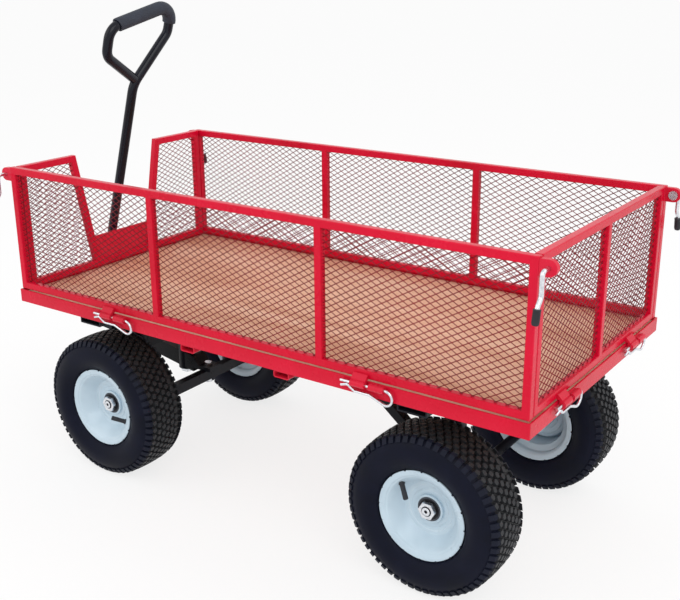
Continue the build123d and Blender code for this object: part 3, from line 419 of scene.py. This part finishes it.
def makeTyre():
    piece = newPiece("tyrePattern")
    side = tyre["side"]
    hollow = tyre["hollow"]
    outside = side + [(0, 155)] + [(-w, r) for w, r in reversed(side)]
    inside = [(-w, r) for w, r in hollow] + [(0, 146)] + list(reversed(hollow))
    drawLoop([wheelPoint(w, r) for w, r in outside + inside])
    spinRound(tyre["steps"], (0, 1, 0))
    pitch = 2 * pi / tyre["blocks"]
    middle = (tyre["rows"] - 1) / 2
    for row in range(tyre["rows"]):  # staggered blocks
        across = (row - middle) * tyre["rowStep"]
        top = tyre["crown"] - tyre["crownDrop"] * (across / tyre["crownHalf"]) ** 2
        centre = (0, across * mm, (top - tyre["blockDepth"] / 2) * mm)
        bpy.ops.mesh.primitive_cube_add(size=1, location=centre)
        size = (tyre["blockLength"] * mm, tyre["blockWidth"] * mm, tyre["blockDepth"] * mm)
        bpy.ops.transform.resize(value=size, center_override=centre)
        upright = bmesh.from_edit_mesh(piece.data)
        for edge in upright.edges:
            ends = [v for v in edge.verts if v.select]
            edge.select = len(ends) == 2 and abs(ends[0].co.z - ends[1].co.z) > mm
        upright.select_mode = {"EDGE"}
        upright.select_flush_mode()
        bmesh.update_edit_mesh(piece.data)
        bpy.ops.mesh.bevel(offset=tyre["blockCorner"] * mm, segments=1, affect="EDGES")
        bpy.ops.mesh.select_mode(type="VERT")
        bpy.ops.mesh.select_linked()
        lean = radians(tyre["skew"]) * (1 if row % 2 else -1)
        bpy.ops.transform.rotate(value=lean, orient_axis="Z", center_override=centre)
        cap = bmesh.from_edit_mesh(piece.data)
        high = (top - tyre["blockDepth"] / 2) * mm
        block = [v for v in cap.verts if v.select]
        for vert in block:
            vert.select = vert.co.z > high
        cap.select_flush_mode()
        bmesh.update_edit_mesh(piece.data)
        taper = (tyre["blockTaper"], tyre["blockTaper"], 1)
        bpy.ops.transform.resize(value=taper, center_override=centre)
        bpy.ops.mesh.select_linked()
        if row % 2:
            bpy.ops.transform.rotate(value=pitch / 2, orient_axis="Y", center_override=(0, 0, 0))
        spinCopies(tyre["blocks"])
        bpy.ops.mesh.select_all(action="DESELECT")
    for hand in (1, -1):  # shoulder lugs
        half = tyre["lugLength"] / 2 * mm
        drawLoop([(-half, hand * w * mm, r * mm) for w, r in tyre["lug"]])
        bpy.ops.mesh.select_linked()
        bpy.ops.mesh.remove_doubles(threshold=mergeReach)
        bpy.ops.mesh.edge_face_add()
        bpy.ops.mesh.extrude_region_move(TRANSFORM_OT_translate={"value": (2 * half, 0, 0)})
        bpy.ops.mesh.select_linked()
        if hand < 0:
            bpy.ops.transform.rotate(value=pitch / 2, orient_axis="Y", center_override=(0, 0, 0))
        spinCopies(tyre["blocks"])
        bpy.ops.mesh.select_all(action="DESELECT")
    for hand in (1, -1):  # nibs where the bead meets the rim's edge
        place = wheelPoint(hand * tyre["nibPlace"][0], tyre["nibPlace"][1])
        bpy.ops.mesh.primitive_cube_add(size=1, location=place)
        bpy.ops.transform.resize(value=Vector(tyre["nibSize"]) * mm, center_override=place)
        bpy.ops.mesh.bevel(offset=tyre["nibCorner"] * mm, segments=1, affect="EDGES")
        bpy.ops.mesh.select_linked()
        spinCopies(tyre["nibs"])
        bpy.ops.mesh.select_all(action="DESELECT")
    mendMesh()
    closePiece()
    smoothPiece(piece, angle=32)
    return piece


# rims: a rolled barrel, a dished disc and the hub tube, each spun from its own section
rim = {
    "steps": 96,
    "barrel": [(46.5, 88.3), (43.5, 88.3), (43.5, 79), (41, 76.2), (28, 76.2), (22, 64)],
    "barrelBack": [(46.5, 85.6), (44.4, 77.6), (40, 73.2), (30.3, 73.2), (24.3, 61)],
    "dish": [(43.6, 78), (41.6, 73), (35, 67), (15, 55), (11, 52), (11, 46), (9.5, 44.5), (9.5, 37.5),
             (11, 36), (11, 25.8), (8, 25.8), (8, 34.5), (6.5, 36), (6.5, 46), (8, 47.5), (8, 54.2),
             (12.8, 57.2), (33.6, 69.2), (40.4, 75.4)],
    "hub": [(-42, 23.55), (-28, 23.55), (-28, 20), (2, 20), (2, 23.55), (16, 23.55), (16, 28), (-42, 28)],
    "rounding": {"barrel": 1.2, "dish": 2.2, "hub": 0.9},
}


def makeRim():
    front, back = rim["barrel"], rim["barrelBack"]
    farFront = [(-w, r) for w, r in reversed(front)]
    farBack = [(-w, r) for w, r in back]
    rolled = front + farFront + farBack + list(reversed(back))
    shells = []
    for name, outline in (("barrel", rolled), ("dish", rim["dish"]), ("hub", rim["hub"])):
        piece = newPiece(name)
        drawLoop([wheelPoint(w, r) for w, r in outline])
        spinRound(rim["steps"], (0, 1, 0))
        closePiece()
        roundEdges(piece, rim["rounding"][name] * mm, segments=3, angle=12)
        shells.append(piece)
    piece = joinPieces(shells, "rimPattern")
    smoothPiece(piece, angle=40)
    return piece


# bearings: steel races with a recessed seal between them
bearing = {
    "steps": 64, "starts": (-42, 2), "width": 14,
    "outer": 23.5, "bore": 10.05, "race": 3.0, "seat": 0.7, "slope": 0.4, "rounding": 0.4,
}


def makeBearings():
    piece = newPiece("bearingPattern")
    lip = bearing["outer"] - bearing["race"]
    neck = bearing["bore"] + bearing["race"]
    for start in bearing["starts"]:
        end = start + bearing["width"]
        low, high = start + bearing["seat"], end - bearing["seat"]
        sealTop, sealFoot = lip - bearing["slope"], neck + bearing["slope"]
        face = [bearing["outer"], lip, sealTop, sealFoot, neck, bearing["bore"]]
        front = list(zip([end, end, high, high, end, end], face))
        back = list(zip([start, start, low, low, start, start], reversed(face)))
        drawLoop([wheelPoint(w, r) for w, r in front + back])
    spinRound(bearing["steps"], (0, 1, 0))
    closePiece()
    roundEdges(piece, bearing["rounding"] * mm, segments=2, angle=40)
    smoothPiece(piece, angle=40)
    return piece


# valves: a moulded rubber stem with a ribbed cap
valve = {
    "section": [(0, -6), (4.5, -6), (4.5, 0.6), (6.2, 0.8), (6.2, 1.8), (5.0, 3.4), (4.7, 8), (4.6, 18),
                (4.9, 19), (4.9, 31), (4.0, 32), (0, 32)],
    "ribs": (19.2, 30.8), "ribGap": 0.12, "ribDepth": 0.35, "rounding": 0.3,
    "steps": 24, "reach": 35.71, "height": 67.14, "lean": (0.5057, -0.8627),
    "angles": {"front_left": 199, "front_right": 120, "rear_left": 46, "rear_right": 200},
}


def makeValve():
    piece = newPiece("valvePattern")
    drawLoop([(r * mm, 0, z * mm) for r, z in valve["section"]])
    spinRound(valve["steps"], (0, 0, 1))
    closePiece()
    openPiece(piece)
    bpy.ops.mesh.select_mode(type="FACE")
    bpy.ops.mesh.select_all(action="DESELECT")
    ribLow, ribHigh = valve["ribs"]
    grip = bmesh.from_edit_mesh(piece.data)  # every other strip of the cap stands back, as ribs
    for face in grip.faces:
        middle = face.calc_center_median()
        around = (middle.to_2d().angle_signed(Vector((1, 0))) + pi) / (2 * pi) * valve["steps"]
        face.select = ribLow * mm < middle.z < ribHigh * mm and int(around) % 2 == 0
    bmesh.update_edit_mesh(piece.data)
    bpy.ops.mesh.inset(thickness=valve["ribGap"] * mm, depth=-valve["ribDepth"] * mm, use_individual=True)
    closePiece()
    roundEdges(piece, valve["rounding"] * mm, segments=2, angle=45)
    smoothPiece(piece, angle=40)
    return piece


# bare turned ends of the axles, with the lathe's centre hole
stub = {
    "section": [(27.7, 3.0), (28.4, 3.7), (28.4, 7.7), (27.7, 8.4)],
    "steps": 40, "rounding": 0.15,
}


def makeStubEnd():
    piece = newPiece("stubPattern")
    drawLoop([wheelPoint(w, r) for w, r in stub["section"]])
    spinRound(stub["steps"], (0, 1, 0))
    closePiece()
    roundEdges(piece, stub["rounding"] * mm, segments=2, angle=30)
    smoothPiece(piece, angle=40)
    return piece


sealRing = {"low": 13.3, "high": 20.3, "half": 60, "square": 0.9}  # only faces that look along the axle
blockRing = {"low": 150.5, "high": 160.1, "half": 45, "square": 0}


def paintRing(piece, finish, centre, ring):  # faces between two radii, near the wheel's middle plane
    piece.data.materials.append(finish)
    for face in piece.data.polygons:
        away = (face.center - centre) / mm
        radius = Vector((away.x, away.z)).length
        inRing = abs(away.y) < ring["half"] and ring["low"] < radius < ring["high"]
        if inRing and abs(face.normal.y) >= ring["square"]:
            face.material_index = 1


axle = {"x": 411, "y": 235, "z": 160}
wheels = {"front_left": (1, 1), "front_right": (1, -1), "rear_left": (-1, 1), "rear_right": (-1, -1)}
tyrePattern, rimPattern = makeTyre(), makeRim()
bearingPattern, valvePattern = makeBearings(), makeValve()
stubPattern = makeStubEnd()
for corner, (end, hand) in wheels.items():
    body = corner + "_wheel"
    centre = Vector((end * axle["x"], hand * axle["y"], axle["z"])) * mm
    placing = Matrix.Translation(centre) @ Matrix.Rotation(0 if hand > 0 else pi, 4, "Z")
    parts = {"tyre": (tyrePattern, tyreRubber, "tyre_rubber"),
             "rim": (rimPattern, rimEnamel, "rim_paint"),
             "bearings": (bearingPattern, bearingRace, "bearing_steel")}
    for part, (pattern, finish, slot) in parts.items():
        piece = copyPiece(pattern, corner + "." + part, placing)
        givePiece(piece, finish, body, slot, f"{corner}_{part}")
        if part == "bearings":  # the recessed rings are rubber seals
            paintRing(piece, sealRubber, centre, sealRing)
        elif part == "tyre":  # the blocks take the scuffed tread rubber, with a painted highlight on their edges
            paintRing(piece, treadRubber, centre, blockRing)
    hub = ("left_knuckle" if hand > 0 else "right_knuckle") if end > 0 else "chassis"
    givePiece(copyPiece(stubPattern, corner + ".axle_end", placing), zincPlate, hub, "zinc")
    turn = radians(valve["angles"][corner])
    radial = Vector((cos(turn), 0, sin(turn)))
    outward = Vector((0, hand, 0))
    foot = centre + (outward * valve["reach"] + radial * valve["height"]) * mm
    way = outward * valve["lean"][0] + radial * valve["lean"][1]
    standing = Matrix.Translation(foot) @ way.to_track_quat("Z", "X").to_matrix().to_4x4()
    piece = copyPiece(valvePattern, corner + ".valve", standing)
    givePiece(piece, leverRubber, body, "black_rubber", f"{corner}_valve")
for pattern in (tyrePattern, rimPattern, bearingPattern, valvePattern, stubPattern):
    dropPiece(pattern)
print("wheels done")

# diamond mesh of the four panels, a bay at a time, cut a little inside the tubes
mesh = {"long": 21.0, "short": 12.0, "strand": 1.7, "hold": 1.0, "low": 423, "high": 666,
        "sidePlane": 292.5, "endPlane": 608.5}
longBays = [(-601, -210.3), (-195.3, 195.3), (210.3, 601)]
endBay = 268
rearBays = [(-endBay, -7.5), (7.5, endBay)]
frontSlant = {"low": 94.25, "high": 140.4}  # the notch's slanted edges, at the bays' foot and top
frontBays = [(-endBay, -frontSlant["low"]), (frontSlant["low"], endBay)]


def weaveBay(name, span, across, alongY, slant=0):
    low, high = mesh["low"] - mesh["hold"], mesh["high"] + mesh["hold"]
    start, end = span[0] - mesh["hold"], span[1] + mesh["hold"]
    cells = ceil((end - start) / mesh["long"] + (high - low) / mesh["short"]) + 2
    clearSelection()
    bpy.ops.mesh.primitive_grid_add(x_subdivisions=cells, y_subdivisions=cells, size=cells * mm,
                                    location=(0, 0, 0))
    piece = bpy.context.object
    piece.name = name
    openPiece(piece)
    origin = (0, 0, 0)
    bpy.ops.transform.rotate(value=pi / 4, orient_axis="Z", center_override=origin)
    cell = (mesh["long"] / sqrt(2), mesh["short"] / sqrt(2), 1)
    bpy.ops.transform.resize(value=cell, center_override=origin)
    bpy.ops.transform.rotate(value=pi / 2, orient_axis="X", center_override=origin)
    middle = (start + end) / 2
    place = Vector((middle, across, (low + high) / 2))
    cuts = [((start, across, low), (-1, 0, 0)), ((end, across, low), (1, 0, 0)),
            ((start, across, low), (0, 0, -1)), ((start, across, high), (0, 0, 1))]
    if slant:  # the slanted edge leans away from the middle as it rises
        rise = mesh["high"] - mesh["low"]
        lean = frontSlant["high"] - frontSlant["low"]
        foot = slant * (frontSlant["low"] - mesh["hold"])
        cuts.append(((foot, across, mesh["low"]), (-slant * rise, 0, lean)))
    if alongY:
        bpy.ops.transform.rotate(value=pi / 2, orient_axis="Z", center_override=origin)
        place = Vector((place.y, place.x, place.z))
        cuts = [((y, x, z), (ny, nx, nz)) for (x, y, z), (nx, ny, nz) in cuts]
    bpy.ops.transform.translate(value=place * mm)
    for point, normal in cuts:
        bpy.ops.mesh.select_all(action="SELECT")
        side = Vector(normal).normalized()
        bpy.ops.mesh.bisect(plane_co=Vector(point) * mm, plane_no=side, clear_outer=True)
    closePiece()
    return piece


def weavePanel(name, bays, across, alongY, body, slants=None):
    slants = slants or [0] * len(bays)
    pieces = [weaveBay(f"bay{i}", bay, across, alongY, slants[i]) for i, bay in enumerate(bays)]
    piece = joinPieces(pieces, name + ".mesh")
    wire = piece.modifiers.new("strands", "WIREFRAME")
    wire.thickness = mesh["strand"] * mm
    wire.use_even_offset = True
    wire.use_boundary = True
    bpy.ops.object.modifier_apply(modifier=wire.name)
    # the strands take the darker red, a painted shade
    givePiece(piece, shadedMeshCoat, body, "red_paint", name + "_mesh")
    return piece


weavePanel("left_panel", longBays, mesh["sidePlane"], False, "left_panel")
weavePanel("right_panel", longBays, -mesh["sidePlane"], False, "right_panel")
weavePanel("rear_panel", rearBays, -mesh["endPlane"], True, "rear_panel")
weavePanel("front_panel", frontBays, mesh["endPlane"], True, "chassis", [-1, 1])
print("panel meshes done")

# grip sleeve on the handle loop, following the bar round the bends
handle = {
    "pivot": (709.6, 0, 246), "lean": (-0.289, 0.9573), "top": 750, "rise": 46, "left": 95, "right": -85,
    "bend": 34, "radius": 15.0, "bore": 11.05, "turn": 9, "lip": 1.2,
    "sides": 32, "startSteps": 3, "barSteps": 6, "bendSteps": 10,
}


def handlePoint(a, b):
    x, y, z = handle["pivot"]
    return Vector((x + handle["lean"][0] * b, y + a, z + handle["lean"][1] * b)) * mm


def makeHandleGrip():
    facing = Vector((handle["lean"][1], 0, -handle["lean"][0]))  # square to the loop's plane
    reach = handle["bend"]
    slope = atan2(handle["rise"], handle["left"] - handle["right"])  # the bar climbs to the right
    begin = slope + radians(handle["turn"])
    nearRun = reach * tan((pi / 2 - slope) / 2)
    farRun = reach * tan((pi / 2 + slope) / 2)
    nearEnd = (handle["left"] - nearRun * cos(slope), handle["top"] + nearRun * sin(slope))
    farEnd = (handle["right"] + farRun * cos(slope), handle["top"] + handle["rise"] - farRun * sin(slope))
    nearBend = handlePoint(nearEnd[0] - reach * sin(slope), nearEnd[1] - reach * cos(slope))
    farBend = handlePoint(farEnd[0] - reach * sin(slope), farEnd[1] - reach * cos(slope))
    firstAcross = nearEnd[0] + reach * (sin(begin) - sin(slope))
    firstUp = nearEnd[1] + reach * (cos(begin) - cos(slope))
    along = (handlePoint(-cos(begin), sin(begin)) - handlePoint(0, 0)).normalized()
    piece = newPiece("handle_grip.sleeve")
    turned = along.to_track_quat("Z", "X").to_euler()
    bpy.ops.mesh.primitive_circle_add(vertices=handle["sides"], radius=handle["radius"] * mm,
                                      location=handlePoint(firstAcross, firstUp), rotation=turned)
    bpy.ops.mesh.spin(steps=handle["startSteps"], angle=begin - slope, center=nearBend, axis=-facing)
    bar = (handlePoint(*farEnd) - handlePoint(*nearEnd)) / handle["barSteps"]
    for step in range(handle["barSteps"]):
        bpy.ops.mesh.extrude_region_move(TRANSFORM_OT_translate={"value": bar})
    bpy.ops.mesh.spin(steps=handle["bendSteps"], angle=pi / 2 + slope, center=farBend, axis=-facing)
    mendMesh()
    closePiece()
    wall = piece.modifiers.new("wall", "SOLIDIFY")
    wall.thickness = (handle["radius"] - handle["bore"]) * mm
    wall.offset = -1
    bpy.ops.object.modifier_apply(modifier=wall.name)
    roundEdges(piece, handle["lip"] * mm, segments=3, angle=50)
    smoothPiece(piece, angle=40)
    givePiece(piece, gripRubber, "drawbar", "black_rubber", "handle_grip")


makeHandleGrip()

# sleeves on the latch levers: dipped vinyl with a domed end and a rolled mouth
sleeve = {
    "section": [(4.05, 0), (6.0, 0), (6.5, 0.8), (6.5, 2.4), (6.1, 3.2), (6.3, 8), (6.4, 21), (5.6, 24.6),
                (3.4, 25.9), (0, 26), (0, 24), (4.05, 24)],
    "steps": 24, "lean": (0.1854, -0.9827), "length": 26, "rounding": 0.5,
}
latches = {"left_front": 1, "left_rear": 1, "right_front": -1, "right_rear": -1}


def makeSleeve():
    piece = newPiece("sleevePattern")
    drawLoop([(r * mm, 0, z * mm) for r, z in sleeve["section"]])
    spinRound(sleeve["steps"], (0, 0, 1))
    closePiece()
    roundEdges(piece, sleeve["rounding"] * mm, segments=2, angle=30)
    smoothPiece(piece, angle=50)
    return piece


sleevePattern = makeSleeve()
for corner, hand in latches.items():
    low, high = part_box(f"{corner}_lever_grip")
    way = Vector((0, hand * sleeve["lean"][0], sleeve["lean"][1]))
    foot = (low + high) / 2 - way * sleeve["length"] / 2 * mm
    standing = Matrix.Translation(foot) @ way.to_track_quat("Z", "X").to_matrix().to_4x4()
    piece = copyPiece(sleevePattern, corner + ".sleeve", standing)
    givePiece(piece, leverRubber, corner + "_latch", "black_rubber", f"{corner}_lever_grip")
dropPiece(sleevePattern)
print("grips done")

# finishes on the kept nodes
coats = {
    redCoat: ["deck_frame", "cross_tubes", "frame_hinge_barrels", "front_panel_frame", "front_notch_plate",
              "left_panel_frame", "left_latch_lugs", "right_panel_frame", "right_latch_lugs",
              "rear_panel_frame"],
    blackCoat: ["front_bolster", "rear_bolster", "rear_axle", "rear_legs", "rear_braces", "front_beam",
                "front_posts", "tongue", "tie_rod", "left_knuckle", "right_knuckle"],
    stemCoat: ["drawbar"],
    zincPlate: ["deck_screws", "rear_axle_nuts", "king_bolt", "spring_clips", "drawbar_bolt", "tie_rod_bolts",
                "left_knuckle_nuts", "right_knuckle_nuts", "left_front_latch_rod", "left_rear_latch_rod",
                "right_front_latch_rod", "right_rear_latch_rod"],
    plywood: ["deck_board"],
}
for finish, names in coats.items():
    for name in names:
        nodes[name].data.materials.clear()
        nodes[name].data.materials.append(finish)
print("nodes coated")

# pale floor that keeps the shadow and reads white to the camera
studio = {
    "floor": 60, "floorTone": tone(250, 250, 250), "share": 0.78, "skyLight": 0.88,
    "lamps": [((-2.6, 2.4, 3.2), 3.0, 53), ((2.4, 3.2, 2.6), 3.0, 26), ((-3.0, -1.8, 2.8), 3.0, 18)],
}


def brightToLens(tree):  # camera, glossy and transmission rays
    rays = tree.nodes.new("ShaderNodeLightPath")
    first = tree.nodes.new("ShaderNodeMath")
    first.operation = "MAXIMUM"
    second = tree.nodes.new("ShaderNodeMath")
    second.operation = "MAXIMUM"
    tree.links.new(rays.outputs["Is Camera Ray"], first.inputs[0])
    tree.links.new(rays.outputs["Is Glossy Ray"], first.inputs[1])
    tree.links.new(first.outputs[0], second.inputs[0])
    tree.links.new(rays.outputs["Is Transmission Ray"], second.inputs[1])
    return second.outputs[0]


def makeFloor():
    clearSelection()
    bpy.ops.mesh.primitive_plane_add(size=studio["floor"], location=(0, 0, 0))
    floor = bpy.context.object
    floor.name = "floor"
    finish = bpy.data.materials.new("paleFloor")
    finish.use_nodes = True
    tree = finish.node_tree
    tree.nodes.remove(tree.nodes["Principled BSDF"])
    matt = tree.nodes.new("ShaderNodeBsdfDiffuse")
    matt.inputs["Color"].default_value = studio["floorTone"]
    glow = tree.nodes.new("ShaderNodeEmission")
    glow.inputs["Strength"].default_value = 1
    share = tree.nodes.new("ShaderNodeMath")
    share.operation = "MULTIPLY"
    share.inputs[1].default_value = studio["share"]
    mix = tree.nodes.new("ShaderNodeMixShader")
    tree.links.new(brightToLens(tree), share.inputs[0])
    tree.links.new(share.outputs[0], mix.inputs[0])
    tree.links.new(matt.outputs[0], mix.inputs[1])
    tree.links.new(glow.outputs[0], mix.inputs[2])
    tree.links.new(mix.outputs[0], tree.nodes["Material Output"].inputs["Surface"])
    floor.data.materials.append(finish)


def makeSky():
    world = bpy.data.worlds.new("studio")
    scene.world = world
    world.use_nodes = True
    tree = world.node_tree
    soft = tree.nodes["Background"]
    soft.inputs["Strength"].default_value = studio["skyLight"]
    soft.inputs["Color"].default_value = grey(1)
    white = tree.nodes.new("ShaderNodeBackground")
    white.inputs["Color"].default_value = grey(1)
    white.inputs["Strength"].default_value = 1
    mix = tree.nodes.new("ShaderNodeMixShader")
    tree.links.new(brightToLens(tree), mix.inputs[0])
    tree.links.new(soft.outputs[0], mix.inputs[1])
    tree.links.new(white.outputs[0], mix.inputs[2])
    tree.links.new(mix.outputs[0], tree.nodes["World Output"].inputs["Surface"])


def makeLamps():
    aim = Vector((0, 0, 0.4))
    for place, size, power in studio["lamps"]:
        bpy.ops.object.light_add(type="AREA", location=place)
        lamp = bpy.context.object
        lamp.data.size = size
        lamp.data.energy = power
        lamp.rotation_euler = (aim - Vector(place)).to_track_quat("-Z", "Y").to_euler()


makeFloor()
makeSky()
makeLamps()

view = {"eye": (-1.2147, 1.6752, 1.1136), "aim": (-0.0819, 0.0578, 0.4430), "roll": -0.346,
        "lens": 54.07, "sensor": 36}
bpy.ops.object.camera_add(location=view["eye"])
camera = bpy.context.object
camera.data.lens = view["lens"]
camera.data.sensor_width = view["sensor"]
sight = (Vector(view["aim"]) - Vector(view["eye"])).to_track_quat("-Z", "Y")
camera.rotation_euler = (sight @ Quaternion((0, 0, 1), radians(view["roll"]))).to_euler()
scene.camera = camera
scene.view_settings.view_transform = "Standard"
print("studio and camera set")
